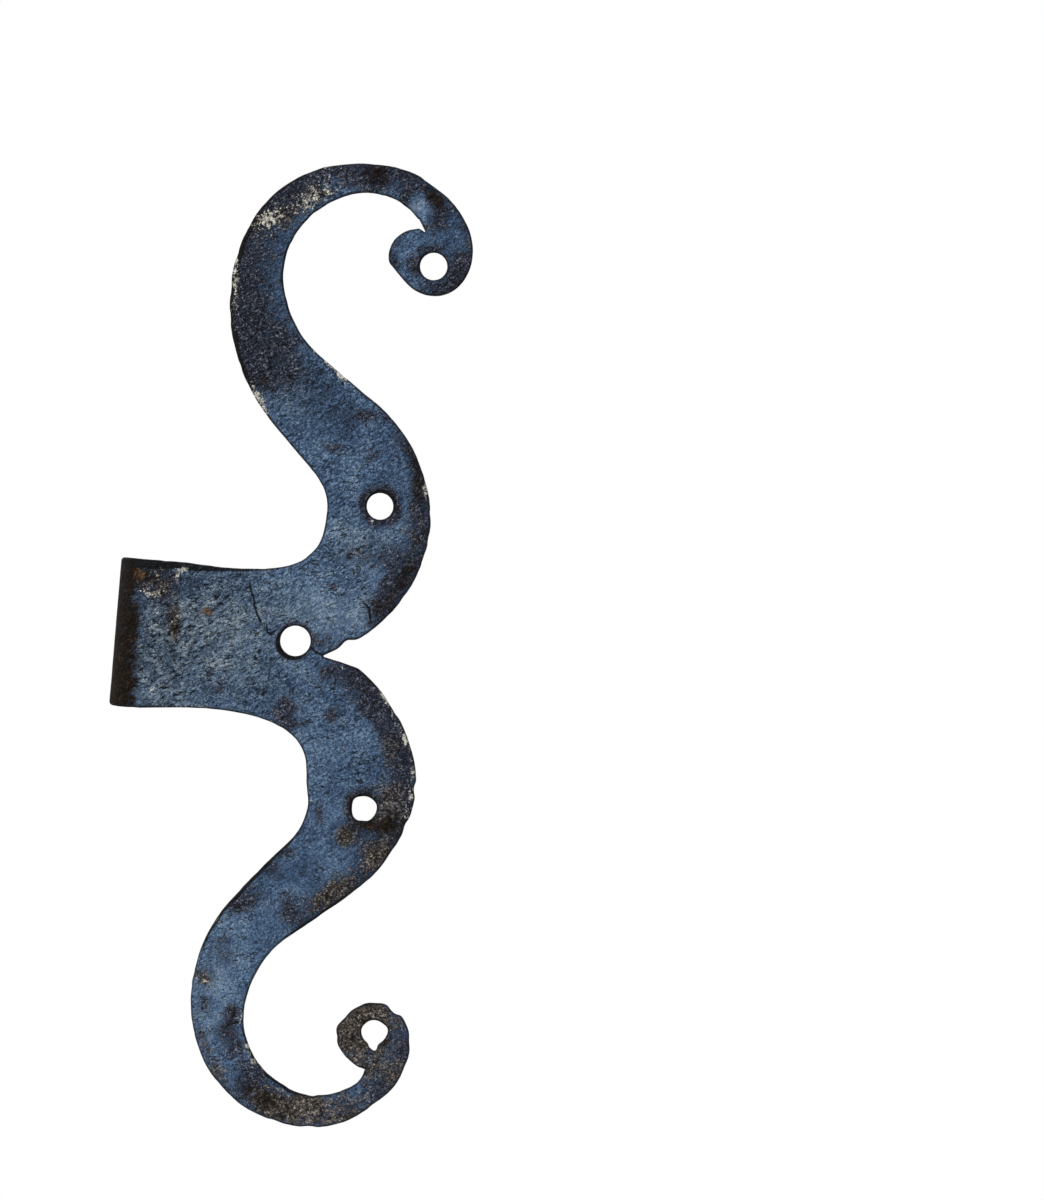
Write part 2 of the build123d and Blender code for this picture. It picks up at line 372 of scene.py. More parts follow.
# %% All points and faces of the skin
sheet = np.vstack([flat, rim.reshape(-1, 2), flat])
below = np.concatenate([np.zeros(len(flat)), rim_depth.ravel(), np.ones(len(flat))])
top, bottom = between(front_depth, *sheet.T), between(back_depth, *sheet.T)
skin_points = bend(*sheet.T, top + below * (bottom - top))
levels = [ring]
levels += [len(flat) + n * len(ring) + np.arange(len(ring)) for n in range(len(inset))]
levels += [len(flat) + len(inset) * len(ring) + ring]
first, second = on_ring[border[:, 0]], on_ring[border[:, 1]]
rim_faces = [
    np.stack([upper[second], upper[first], lower[first], lower[second]], axis=-1)
    for upper, lower in zip(levels, levels[1:])
]
back_faces = front_faces[:, ::-1] + len(flat) + len(inset) * len(ring)
skin_faces = np.vstack([front_faces, *rim_faces, back_faces])
print(2 * len(skin_faces), "triangles in the skin")

# %% Put the skin into a mesh
mesh = bpy.data.meshes.new("strap_skin")
mesh.vertices.add(len(skin_points))
mesh.vertices.foreach_set("co", skin_points.astype(np.float32).ravel())
mesh.loops.add(skin_faces.size)
mesh.loops.foreach_set("vertex_index", skin_faces.astype(np.int32).ravel())
mesh.polygons.add(len(skin_faces))
mesh.polygons.foreach_set("loop_start", np.arange(0, skin_faces.size, 4, dtype=np.int32))
mesh.polygons.foreach_set("use_smooth", np.ones(len(skin_faces), bool))
mesh.update(calc_edges=True)
print("mesh valid:", not mesh.validate(verbose=False))
strap_skin = bpy.data.objects.new("strap_skin", mesh)
bpy.context.scene.collection.objects.link(strap_skin)
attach(strap_skin, "root")
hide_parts("hinge_strap")

# %% [markdown]
# ## Where the iron is dark, rusty, limed or worn
#
# The oxide is not the same all over. It is a smooth mid blue where the strap lay sheltered, brown-black
# round the eye and along the outer edges, and flecked with pale lime or old paint in a few places. These
# places are named here, in millimetres on the blank, as soft patches, and stored with the points of the
# skin. The finish then breaks their edges up with noise.

# %% Patches of the finish
PATCHES = {
    "dark": [
        (17.6, 94.1, 4.6, 14.4, 5, 0.95), (24.5, 99, 4.1, 8.3, 5, 0.35), (15.6, 101.7, 3.1, 6.2, 5, 0.9),
        (19.5, 81.3, 9.3, 5.7, 85, 0.95), (23.5, 74.7, 6.2, 6.2, 5, 0.9), (24.1, 68.3, 3.9, 3.9, 5, 1.0),
        (27, 79.3, 6.2, 5.2, 5, 0.6), (21.5, 112.5, 8, 4.6, 47, 0.9), (27.8, 117.6, 7.2, 3.8, 37, 0.85),
        (27, 112, 6, 4, 40, 0.7), (33.9, 121.1, 6.2, 2.3, 23, 0.7), (42.4, 122.5, 5.2, 3.6, 5, 0.55),
        (49.2, 123, 5.7, 4.3, 0, 0.95), (57, 122.8, 5.2, 3.1, -20, 0.7),
        (56.9, 117.6, 2.0, 3.2, -25, 0.7), (66, 113.6, 2, 4.6, -25, 0.8),
        (64.9, 118.8, 6.4, 2.5, -50, 0.9), (67, 112.5, 1.4, 2.6, 5, 0.9),
        (73, 112.5, 7.2, 1.9, -65, 0.55), (65, 105, 3.7, 1.2, 5, 0.9), (61.4, 100.3, 2.4, 2.4, 5, 1.0),
        (73.2, 101.5, 3.4, 4.6, 5, 0.95), (70.9, 96.8, 5.8, 3.3, 30, 0.95),
        (65.8, 94.8, 4.1, 1.7, 5, 0.55), (55.2, 101.5, 1.7, 3.1, 5, 0.7),
        (55.7, 107.2, 1.9, 1.9, 35, 0.45), (30.4, 70.1, 6.2, 4.6, 5, 0.5),
        (51.4, 61.1, 5.2, 1.9, 5, 0.6), (44, 51.8, 2.9, 1.4, 5, 0.5), (55.7, 51.5, 4.1, 1.4, 35, 0.4),
        (63.2, 53.4, 9.6, 2.3, -55, 0.6), (67.4, 41.3, 3.0, 11.4, 5, 0.85),
        (69.3, 33.7, 1.7, 8.3, 5, 0.8), (65.2, 20, 15.5, 4.3, 66, 0.85), (60.6, 12.5, 5.2, 3.4, 65, 0.8),
        (57.9, 25, 6.2, 4.1, 5, 0.4), (56.5, -8, 6.6, 4.3, -40, 0.85), (61.8, -14.2, 12, 4.2, -50, 0.9),
        (68.8, -27, 3.6, 10.5, 8, 0.9), (67, -21.7, 4.1, 6.2, 5, 0.55), (37, -16.9, 3.1, 3.7, 5, 0.85),
        (49.3, -16.8, 1.9, 2.6, 5, 0.75), (40.1, -20.1, 3.1, 2.1, 5, 0.5),
        (19.2, -12.6, 3.1, 1, 5, 0.55), (27.8, -9.7, 2.5, 1.4, 5, 0.45), (48.4, -6, 4.3, 2.5, -15, 0.65),
        (45.2, 1.9, 4.3, 2.7, 25, 0.5), (1.2, 15.8, 5.0, 3.2, 5, 0.95), (2.5, 11.6, 4.2, 3.0, 5, 0.8),
        (47, 16.3, 1.4, 1.2, 5, 0.5), (50.4, 24.3, 1.2, 1.4, 5, 0.6), (66.6, -42.5, 7.7, 7.7, 5, 0.9),
        (70, -37, 4.1, 8.3, 5, 0.75), (64.1, -53.9, 15.5, 4.3, 52, 0.85),
        (58.2, -45.8, 4.6, 4.1, 5, 0.7), (52, -64.4, 8.8, 3.7, 40, 0.6),
        (42.4, -67.8, 3.0, 4.2, 5, 0.55), (46.6, -71.1, 3.5, 1.7, 45, 0.6),
        (32.3, -65.7, 4.5, 3.1, 25, 0.6), (29.4, -67.6, 2.9, 1.9, 45, 0.55),
        (39.8, -52.9, 2.9, 1.4, 5, 0.85), (37.2, -57.7, 2.7, 2.7, 5, 0.6),
        (26.4, -77.8, 3.1, 2.3, 5, 0.5), (27.2, -82, 2.7, 2.5, 5, 0.45), (23, -94, 2.9, 2.9, 5, 0.5),
        (30.3, -95.6, 2.1, 2.6, 5, 0.95), (28.7, -100.5, 3.5, 2.9, 5, 0.75),
        (31.9, -104.1, 2.9, 3.1, 5, 0.55), (36.9, -114.9, 6.2, 4.7, -40, 0.85),
        (37.8, -110.5, 3.3, 3.1, 5, 0.7), (44.1, -119, 5.2, 3.5, -15, 0.7),
        (61, -119.9, 7.2, 1.9, 13, 0.6), (69.4, -112.2, 5.8, 4.1, 45, 0.6),
        (74.6, -102, 3.2, 7.5, 5, 0.7), (48, -42.3, 1.9, 3.5, 5, 0.5),
    ],
    "brown": [
        (49.2, 123, 4.1, 3.7, 5, 0.75), (64.8, 118, 4.7, 2.5, -53, 0.8), (24.1, 68, 2.7, 2.5, 5, 0.55),
        (64.4, 51.2, 4.2, 1.9, -55, 0.6), (66, 20.9, 12.4, 2.9, 66, 0.6),
        (59.8, 12.2, 4.7, 2.9, 65, 0.5), (67, 43.7, 2.4, 7.6, 5, 0.6), (-3.0, 14.2, 3.4, 5.0, 5, 0.9),
        (15.4, 7.1, 2.5, 1.7, 5, 0.25), (7.1, 2.6, 2.3, 6.6, 5, 0.25), (48.4, -6, 2.7, 1.4, -15, 0.45),
        (59.3, -6.9, 4.1, 2.5, -35, 0.4), (57, 41.3, 7.2, 6.2, 5, 0.25), (56.3, -48.1, 3.7, 3.1, 5, 0.3),
        (61.2, -44.7, 5, 2.1, 5, 0.65), (52, -64, 6.8, 2.9, 40, 0.3),
        (36.5, -115.4, 4.5, 3.7, -40, 0.55), (30.8, -94.7, 1.4, 2.1, 5, 0.5),
        (41.4, -117.5, 3.1, 3.1, 5, 0.5), (67.1, -43.3, 4.1, 4.1, 5, 0.5),
    ],
    "grey": [
        (62.6, -98.6, 7.2, 10.0, 5, 1.0), (67.5, -94.2, 7.2, 4.1, -15, 0.9),
        (48.8, -118.6, 10.8, 4.7, 5, 0.95), (40.4, -116.3, 4.1, 4.1, 5, 0.55),
        (64.7, -40.1, 6.2, 6.2, 5, 0.4), (63.2, -53.1, 6.2, 4.1, 50, 0.65),
        (73.8, -107.9, 4.7, 4.1, 45, 0.5), (22.4, -86.9, 3.4, 3.4, 5, 0.7),
        (25.4, -107.2, 17, 2.5, -61, 0.55), (60.2, -120.7, 6.2, 1.7, 10, 0.4),
        (1.9, 13.4, 4.7, 6.4, 5, 0.55), (6.9, 2.5, 2.4, 7.6, 5, 0.6), (22.8, 109.2, 6.2, 4.1, 5, 0.6),
        (33.4, 116.1, 8.3, 3.7, 30, 0.6), (66, -27, 4.6, 13, 8, 0.35), (66.8, 32, 4, 20, 5, 0.35),
        (61, -118.3, 7.4, 3.6, 13, 0.45), (52, -64, 8.8, 3.7, 40, 0.7), (55.8, -48.1, 3.9, 3.3, 5, 0.9),
        (66.6, -104.4, 6, 5, 0, 0.6),
    ],
    "deep": [
        (38.3, 68.2, 14.4, 5.7, -33, 0.9), (41.4, 123.7, 4.5, 3.7, 5, 0.9),
        (56.5, 123.7, 5.8, 3.1, -17, 0.8), (69.8, 108.8, 6.2, 8.3, 5, 0.5),
        (24.5, 99, 5.2, 12.4, 5, 1.0), (26.7, 83.6, 6.2, 6.2, 5, 0.5), (60.5, 102, 6.2, 7.2, 5, 0.4),
        (61.1, -116.3, 8.3, 3.9, 13, 0.9), (74.9, -100.5, 3.5, 7.2, 5, 0.9),
        (49.8, -37.9, 4.1, 5.2, 5, 0.3), (37.1, -112.3, 9.3, 6.2, -35, 0.6),
        (43.7, -57.4, 9.3, 8.3, 5, 0.75), (37.9, -70.8, 8.3, 6.2, 5, 0.5),
        (42.5, 59, 13.4, 8.3, -33, 0.75), (38.6, -6.9, 8.3, 6.2, 5, 0.3), (13, 13.4, 13, 4.4, 0, 0.65),
        (2.4, 3.2, 4.4, 4.8, 0, 0.6),
    ],
    "worn": [
        (50.1, 9.6, 9.1, 5.4, 15, 1.2), (49.3, 9.6, 7.2, 4.1, 15, 0.8), (22.4, 1.3, 17.5, 17.5, 5, 0.55),
        (4.7, -4.5, 9.3, 15.5, 5, 0.45), (35.4, 10.1, 9.3, 7.2, 5, 0.5), (25.6, -88.2, 5.2, 9.3, 5, 0.9),
        (23.8, -97.9, 3.5, 6.2, 5, 0.8), (51, 26, 9, 7, 5, 0.45), (25.6, -73.6, 4.1, 3.1, 5, 0.4),
        (37, 12, 12.4, 6.2, 5, 0.3), (61.1, 115.6, 2.9, 3.7, -25, 1.0), (45.5, -27.9, 7.2, 7.2, 5, 0.5),
    ],
    "pale": [
        (22.6, 109.1, 5.2, 4.2, 5, 1.0), (32.6, 115.0, 8.4, 3.6, 30, 0.96),
        (38.1, 121.7, 3.5, 3.5, 5, 0.6), (46.2, 118.6, 9.3, 0.7, 5, 0.5),
        (15.3, 91.3, 1.2, 12.4, 5, 1.0), (15.3, 97.3, 0.8, 4.1, 5, 0.7),
        (24.1, 62.5, 6.6, 1.8, -55, 1.1), (45, 70.5, 4.2, 2.0, -35, 1.1),
        (40.8, 73.6, 2.8, 1.2, -35, 1.0), (37.3, 76.6, 2.0, 1.0, -45, 1.0),
        (18.5, 92.9, 2.7, 2.1, 5, 0.4), (68.9, 43.1, 1.0, 2.7, 5, 1.15), (69.8, 38, 0.6, 4.1, 5, 0.6),
        (62.7, -11.4, 4.6, 1, -58, 1.2), (69, -21.8, 4.8, 1, -66, 1.15),
        (71.7, -30.8, 1.2, 4.1, 5, 0.85), (8.0, 17.3, 1.9, 1.1, 30, 1.3), (6.7, 16.0, 0.9, 1.8, 5, 1.15),
        (1.7, 15.9, 2.7, 2.1, 5, 0.8), (1.7, 10.3, 3.3, 1.7, 5, 0.95), (-1.3, 10.9, 1.9, 3.1, 5, 0.7),
        (7, 4.3, 2.7, 2.3, 5, 0.85), (2.8, -14.2, 1.4, 1.2, 5, 1.0), (51.7, -4.5, 1.4, 0.7, 5, 0.9),
        (30.4, 19, 1.4, 0.5, 5, 0.75), (13.6, -17.6, 15.5, 0.5, 5, 0.9),
        (48.4, -21.6, 4.1, 1.2, -5, 0.45), (57.2, 33.5, 3.7, 0.9, 5, 0.6),
        (17.6, 11.2, 1.4, 1.2, 5, 0.4), (70.4, -41.3, 1.9, 1.9, 5, 0.92), (71.7, -36, 1.3, 6.2, 5, 0.85),
        (46.5, -39.2, 2.7, 1, -15, 0.6), (60.2, -53.8, 1.9, 1.5, 5, 0.7),
        (36.9, -56.6, 3.1, 1.9, 55, 0.55), (24.4, -72.8, 1.4, 1.4, 5, 0.8),
        (22.5, -87.6, 3.0, 2.3, -25, 0.75), (32.7, -96.7, 1, 2.9, 5, 0.9),
        (34.8, -103.8, 3.4, 1.4, -65, 0.92), (37.6, -108.4, 4.6, 1.4, -47, 0.88),
        (20.6, -95.6, 0.8, 9.3, 5, 0.5), (48.7, -117.8, 10.3, 4.5, 5, 0.3),
        (42.4, -114.4, 3.1, 3.1, -40, 0.65), (63.2, -95, 6.8, 5.8, 5, 0.3),
        (67.4, -103.7, 3.7, 2.3, 5, 0.4), (56.2, -57.2, 1.4, 1.2, 5, 0.4),
    ],
    "rust": [
        (-2.5, 14.8, 2.0, 4.0, 5, 0.95), (-6.9, 15.2, 1, 1.4, 5, 0.7), (15.4, 7.1, 3.0, 1.9, 5, 1.1),
        (62.1, -45, 2.7, 1.2, 5, 0.65), (56.2, -47.7, 2.3, 2.1, 5, 0.5), (33.7, -113.9, 1.7, 1, 5, 0.65),
        (-6.7, -2, 1.4, 14.4, 5, 0.35), (61.8, -11, 3.1, 1.2, -45, 0.4),
    ],
    "wrinkled": [
        (3.6, -1.2, 9.3, 21.7, 5, 1.0), (15.8, 6.8, 11.4, 15.5, 5, 0.7), (30.4, 8, 10.3, 6.2, 5, 0.4),
        (24.9, -8, 13.4, 8.3, 5, 0.5), (52.1, 27.1, 8.3, 6.2, 5, 0.4), (31.5, 66.8, 9.3, 6.2, -35, 0.6),
        (19.8, 83, 6.2, 14.4, 5, 0.4),
    ],
    "smooth": [
        (50.2, 9.2, 8, 4.7, 15, 1.0), (61.1, 115.4, 2.6, 3.7, -25, 1.0), (69.3, 110.5, 5.4, 3.3, 5, 0.6),
        (57.8, 103.5, 2.7, 2.7, 5, 0.5), (24.5, 99, 3.3, 8.7, 5, 0.5), (38.8, 62.2, 10.3, 5.2, -33, 0.5),
        (43.7, -57.4, 6.4, 6.4, 5, 1.0), (50.9, -40.4, 4.3, 7.6, 5, 0.7),
        (37.9, -70.8, 5.4, 4.7, 5, 0.8), (48.5, -53.5, 8.7, 5.4, 5, 0.7),
        (31.2, -73.1, 6.4, 5.4, 5, 0.6), (26.5, -89, 4.3, 8.7, 5, 0.8), (26.3, -97.7, 4.3, 5.4, 5, 0.8),
        (59.8, -115.6, 5.4, 3.7, 5, 0.6), (37, 12, 10.3, 5.2, 5, 0.5), (47.2, -27.7, 6.2, 6.2, 5, 0.4),
    ],
}
print(sum(len(places) for places in PATCHES.values()), "patches of", len(PATCHES), "kinds")

# %% Soot and shade round the nail holes
# Soot: width of the ring and strength
SOOT = [(0.9, 0.6), (1.8, 0.95), (2.0, 0.9), (1.0, 0.5), (1.2, 0.6)]
SOOT_OUT = 0.5
# Black shade in the rims: the way it leans off the centre, and how far it reaches
SHADE = [(-0.6, -0.55, 0.9), (0.3, 0.5, 0.9), (-0.3, 0.1, 0.9), (-0.3, 0.1, 0.45), (0.2, 0.2, 0.45)]
SHADE_FADE = 0.7


def soot(along, up):
    """Rings round the holes, the strongest counting: exp(-r^2) of the way from the rim, in widths."""
    rings = [
        strength * np.exp(-(((np.hypot(along - a, up - u) - radius - SOOT_OUT) / wide) ** 2))
        for (a, u, radius), (wide, strength) in zip(HOLES, SOOT)
    ]
    return np.max(rings, axis=0)


def shade(along, up):
    """Crescents at the holes: inside circles that are a little wider, moved the way the shade leans."""
    crescents = []
    for (a, u, radius), (lean_along, lean_up, reach) in zip(HOLES, SHADE):
        way = np.hypot(along - a - lean_along, up - u - lean_up)
        crescents.append(step_between(radius + reach, radius + reach - SHADE_FADE, way))
    return np.max(crescents, axis=0)


# %% Fields over the blank: the patches, the eye, and painted shade at the edges
fields = {name: patch(ALONG, UP, places) for name, places in PATCHES.items()}
fields["dark"] = np.maximum(fields["dark"], soot(ALONG, UP))
eye_shade = step_between(1.4, -4.0, ALONG + 0.05 * UP + 0.8 * hills(ALONG, UP, 3.0, 41))
behind = step_between(-10, -22, ALONG)
fields["brown"] = np.maximum(fields["brown"], eye_shade * (1 - 0.6 * behind))
fields["dark"] = np.maximum(fields["dark"], 0.5 * behind)
# Painted shade: a black strip along the top edge of the leaf, where its bevel lies in shade
top_shade_wide = 2.2 * step_between(38, 2, ALONG) + 0.6 * hills(ALONG, UP, 2.4, 42)
top_bevel_shade = step_between(top_shade_wide, top_shade_wide - 0.7, edge) * (UP > eye_top - 4) * (ALONG < 34)
# Painted shade: black lines along edges that turn away from the light, within these places
SHADED_EDGES = [(32.5, -63, 24, 7, 55, 1.0), (42, -107, 15, 7, -45, 1.0), (49, -69, 12, 4, 35, 0.9)]
shaded_edge_line = step_between(1.5, 0.9, edge + 0.5 * hills(ALONG, UP, 2.6, 43))
shaded_edge_line *= patch(ALONG, UP, SHADED_EDGES)
# The black field is painted shade: crescents in the hole rims, the top bevel and the shaded edges
fields["black"] = np.max([shade(ALONG, UP), top_bevel_shade, shaded_edge_line], axis=0)
print("black over", round(100 * float((fields["black"] > 0.5)[edge > 0].mean()), 1), "% of the face")


# %% Store the fields with the points of the skin
def store(name, values):
    """Keep one number for each point of the skin, under a name that the finish can read."""
    mesh.attributes.new(name, "FLOAT", "POINT").data.foreach_set("value", values.astype(np.float32))


# Share of a patch that the back has too, where it is less than all
ON_BACK = {"pale": 0.45, "rust": 0.5, "grey": 0.7}
to_back = step_between(0.9, 2.6, below * iron)
for name, field in fields.items():
    store(name, between(field, *sheet.T) * (1 - (1 - ON_BACK.get(name, 1)) * to_back))
# Painted shade along every edge: black at the outline, gone a little way in, and weaker down the side and
# on the back
front_edge_shade = 1 - 0.65 * step_between(0.7, 1.6, below * iron)
EDGE_SHADE_WIDE = 1.2
store("rim", front_edge_shade * (1 - np.clip(between(edge, *sheet.T) / EDGE_SHADE_WIDE, 0, 1)))
way_off = beside_lines(*sheet.T)
store("line_gap", np.clip(way_off, -2, 2))
store("line_near", step_between(1.9, 1.2, np.abs(way_off)) * (1 - to_back))
print("fields stored:", ", ".join(fields))

# %% [markdown]
# ## Writing a finish as arithmetic
#
# A finish is a tree of nodes, and most of them are sums. Wrapping a socket in a small class lets the
# sums be written as Python, and each operator adds its Math node.


# %% The class for shader values
class Value:
    """A number or colour on its way through the shader."""

    def __init__(self, finish, socket):
        self.finish, self.socket = finish, socket

    def __add__(self, other):
        return self.finish.sum("ADD", self, other)

    def __sub__(self, other):
        return self.finish.sum("SUBTRACT", self, other)

    def __rsub__(self, other):
        return self.finish.sum("SUBTRACT", other, self)

    def __mul__(self, other):
        return self.finish.sum("MULTIPLY", self, other)

    def __abs__(self):
        return self.finish.sum("ABSOLUTE", self, 0.0)

    __radd__, __rmul__ = __add__, __mul__


class Finish:
    """A material or a world whose nodes are added one call at a time, up to its own shader node."""

    def __init__(self, owner, shader="Principled BSDF"):
        owner.use_nodes = True
        self.owner, self.tree = owner, owner.node_tree
        self.surface = self.tree.nodes[shader]

    def node(self, kind, settings, inputs, output=0):
        """Add a node: its settings first, then a value or a link for each socket."""
        made = self.tree.nodes.new(kind)
        for key, value in settings.items():
            if key == "stops":
                self.stops(made.color_ramp.elements, value)
            else:
                setattr(made, key, value)
        for key, value in inputs.items():
            self.put(made.inputs[key], value)
        return Value(self, made.outputs[output])

    def stops(self, elements, wanted):
        """Set a ramp's colours: the two ends that it starts with, then a new stop for each between."""
        elements[0].position, elements[1].position = wanted[0][0], wanted[-1][0]
        for position, _ in wanted[1:-1]:
            elements.new(position)
        for element, (_, colour) in zip(elements, wanted):
            element.color = colour

    def put(self, socket, value):
        """A Value is linked to the socket, and anything else is set on it."""
        if isinstance(value, Value):
            self.tree.links.new(value.socket, socket)
        else:
            socket.default_value = value

    def sum(self, operation, a, b):
        """One step of arithmetic."""
        return self.node("ShaderNodeMath", {"operation": operation}, {0: a, 1: b})

    def noise(self, place, scale, detail, rough=0.5, distortion=0.0):
        """Smooth random values round 0.5, with scale as the number of cells in a metre."""
        inputs = {"Vector": place, "Scale": scale, "Detail": detail, "Roughness": rough}
        inputs["Distortion"] = distortion
        return self.node("ShaderNodeTexNoise", {}, inputs, "Fac")

    def between(self, low, high, value):
        """0 below low, 1 above high, smooth between."""
        inputs = {"Value": value, "From Min": low, "From Max": high}
        return self.node("ShaderNodeMapRange", {"interpolation_type": "SMOOTHSTEP"}, inputs)

    def mix(self, share, a, b):
        """Colour a where share is 0 and b where it is 1."""
        settings = {"data_type": "RGBA", "clamp_factor": True}
        return self.node("ShaderNodeMix", settings, {0: share, 6: a, 7: b}, 2)

    def ramp(self, value, stops):
        """Colours from dark to light, by value."""
        return self.node("ShaderNodeValToRGB", {"stops": stops}, {"Fac": value}, "Color")

    def patch(self, name):
        """A number that was stored with the points of the skin."""
        return self.node("ShaderNodeAttribute", {"attribute_name": name}, {}, "Fac")


def paint(red, green, blue):
    """A colour as a screen shows it, 0 to 255, turned into the light it stands for."""
    c = np.array([red, green, blue]) / 255
    return (*np.where(c < 0.04045, c / 12.92, ((c + 0.055) / 1.055) ** 2.4).tolist(), 1.0)


# %% [markdown]
# ## Forged iron
#
# Iron that has been heated, hammered and kept dry for long carries a thin blue-grey oxide. In the pits it
# is black, on rubbed grains it is lighter, and where damp got in it turns brown. A painted picture could
# show this, but it would stretch round the eye and blur up close. So the finish mixes the colours from the
# patches and from noise in the strap's own space, which goes right through the iron: mottling of a
# centimetre, clouds and lumps of a few millimetres, grain and dust down to a third of a millimetre, and
# long folds and creases where the scale has wrinkled.

# %% Noises, from mottling of a centimetre down to grain
iron_finish = Finish(bpy.data.materials.new("forged_iron"))
place_on = iron_finish.node("ShaderNodeTexCoord", {}, {}, "Object")
mottle = iron_finish.noise(place_on, 110, 3, 0.55)
cloud = iron_finish.noise(place_on, 330, 4, 0.6, 0.3)
grit = iron_finish.noise(place_on, 900, 3, 0.6)
grain = iron_finish.noise(place_on, 1800, 1, 0.6)
fleck = iron_finish.noise(place_on, 620, 4, 0.6, 0.8)
lump = iron_finish.noise(place_on, 620, 1, 0.45, 0.6)
ripple = iron_finish.noise(place_on, 1400, 1, 0.4)
dust = iron_finish.noise(place_on, 3000, 1, 0.6)
print("noises ready:", len(iron_finish.tree.nodes), "nodes")

# %% Creases in the scale, longer along the strap than across it
level = {"Vector": place_on, "Rotation": (0, 0.1, 0), "Scale": (0.5, 1, 1.3)}
stretched = iron_finish.node("ShaderNodeMapping", {}, level)
crease = iron_finish.noise(stretched, 560, 1, 0.45, 1.2)
valley = abs(crease - 0.5)
ridge = iron_finish.between(0.0, 0.11, valley)
print("creases ready:", len(iron_finish.tree.nodes), "nodes")

# %% Wrinkled scale: folds that climb to the right, more than twice as long as they are wide
slanted = {"Vector": place_on, "Rotation": (0, -0.5, 0), "Scale": (2.3, 1, 1)}
fold_place = iron_finish.node("ShaderNodeMapping", {"vector_type": "TEXTURE"}, slanted)
fold = iron_finish.noise(fold_place, 1150, 2, 0.5, 0.7)
print("folds ready:", len(iron_finish.tree.nodes), "nodes")

# %% Fine squiggles: painted glints where proud grains would catch the light
curl = iron_finish.noise(place_on, 1050, 1, 0.5, 0.4)
painted_glint = iron_finish.between(0.045, 0.0, abs(curl - 0.5)) * iron_finish.between(0.47, 0.60, grit)
print("squiggles ready:", len(iron_finish.tree.nodes), "nodes")

# %% Patches that were stored with the skin
# The black number is painted shade: hole rims, top bevel and shaded edges
KINDS = ("dark", "brown", "grey", "deep", "worn", "pale", "rust", "wrinkled", "smooth", "black")
dark, brown, grey, deep, worn, pale, rust, wrinkled, smooth, black = map(iron_finish.patch, KINDS)
# The rim number is painted shade along the edges; the line numbers mark the cracks
EDGES = ("rim", "line_gap", "line_near")
painted_edge_shade, line_gap, line_near = map(iron_finish.patch, EDGES)
print(len(KINDS) + len(EDGES), "stored numbers read")

# %% Colours of each kind of oxide, from its pits to its rubbed grains
OXIDES = {
    "blue": [(0.22, paint(30, 41, 57)), (0.42, paint(54, 73, 98)), (0.52, paint(68, 89, 115)),
             (0.62, paint(83, 105, 130)), (0.82, paint(119, 138, 155))],
    "weathered": [(0.22, paint(40, 48, 58)), (0.42, paint(72, 85, 99)), (0.52, paint(90, 105, 119)),
                  (0.62, paint(110, 123, 133)), (0.82, paint(152, 158, 160))],
    "dark": [(0.28, paint(12, 13, 17)), (0.46, paint(34, 37, 47)), (0.60, paint(53, 57, 70)),
             (0.76, paint(82, 88, 102)), (0.95, paint(112, 117, 127))],
    "brown": [(0.22, paint(6, 3, 1)), (0.48, paint(18, 11, 5)), (0.62, paint(28, 19, 11)),
              (0.80, paint(42, 32, 23)), (0.98, paint(66, 56, 46))],
    "grey": [(0.22, paint(16, 14, 12)), (0.40, paint(42, 37, 33)), (0.52, paint(67, 61, 56)),
             (0.66, paint(92, 85, 79)), (0.90, paint(138, 132, 124))],
}
tone = 0.5 + (mottle - 0.5) * 0.55 + (cloud - 0.5) * (0.42 + wrinkled * 0.55) + (lump - 0.5) * 0.3
tone = tone + (dust - 0.5) * 0.5
# The squiggles add painted glints to the tone
tone = tone + (grain - 0.5) * (0.85 - smooth * 0.4 - wrinkled * 0.3) + painted_glint * (0.10 - smooth * 0.06)
# The fold term is painted shade: lighter on the crests of the folds, darker in their valleys
tone = tone + worn * 0.14 - deep * 0.13 + (fold - 0.52) * wrinkled * 0.8
# Painted glints from the squiggles lighten the speckle too
speckle = 0.47 + (dust - 0.5) + (grain - 0.5) * 0.6 + (grit - 0.5) * 0.8
speckle = speckle + (cloud - 0.5) * 0.8 + painted_glint * 0.22
blue_oxide, weathered_oxide = (iron_finish.ramp(tone, OXIDES[kind]) for kind in ("blue", "weathered"))
dark_oxide, brown_oxide, grey_oxide = (
    iron_finish.ramp(speckle, OXIDES[kind]) for kind in ("dark", "brown", "grey")
)
print(len(OXIDES), "kinds of oxide")

# %% [markdown]
# ## Oxide, rust and lime
#
# On the real strap one oxide gives way to the next in ragged islands. A plain mix by a soft patch would
# look airbrushed. So noise is added to each patch before a narrow step makes it a share, and it acts
# most where the patch is strong, or specks would fall all over. Rust, pits, creases, cracks and lime are
# then laid on top of each other in the order in which they came, with painted shadow in the folds and
# painted shade at the edges and hole rims laid on between them.

# %% Mix the oxides by their patches, with borders that the noise breaks up
broken = (grit - 0.5) * 1.5 + (cloud - 0.5) * 2.0 + (mottle - 0.5) * 0.8 + (grain - 0.5) * 0.9
stain = (fleck - 0.5) * 1.8 + (mottle - 0.5) * 1.4 + (grain - 0.5) * 0.9
dark_share = iron_finish.between(0.14, 0.62, dark + broken * (0.35 + dark * 0.9 - smooth * 0.2))
brown_share = iron_finish.between(0.20, 0.75, brown + stain * (0.25 + brown * 0.7))
grey_share = iron_finish.between(0.20, 0.70, grey + stain * (0.25 + grey * 0.8))
colour = iron_finish.mix(wrinkled * 0.6 + worn * 0.2, blue_oxide, weathered_oxide)
colour = iron_finish.mix(dark_share, colour, dark_oxide)
colour = iron_finish.mix(grey_share, colour, grey_oxide)
colour = iron_finish.mix(brown_share, colour, brown_oxide)
print("oxides mixed:", len(iron_finish.tree.nodes), "nodes")
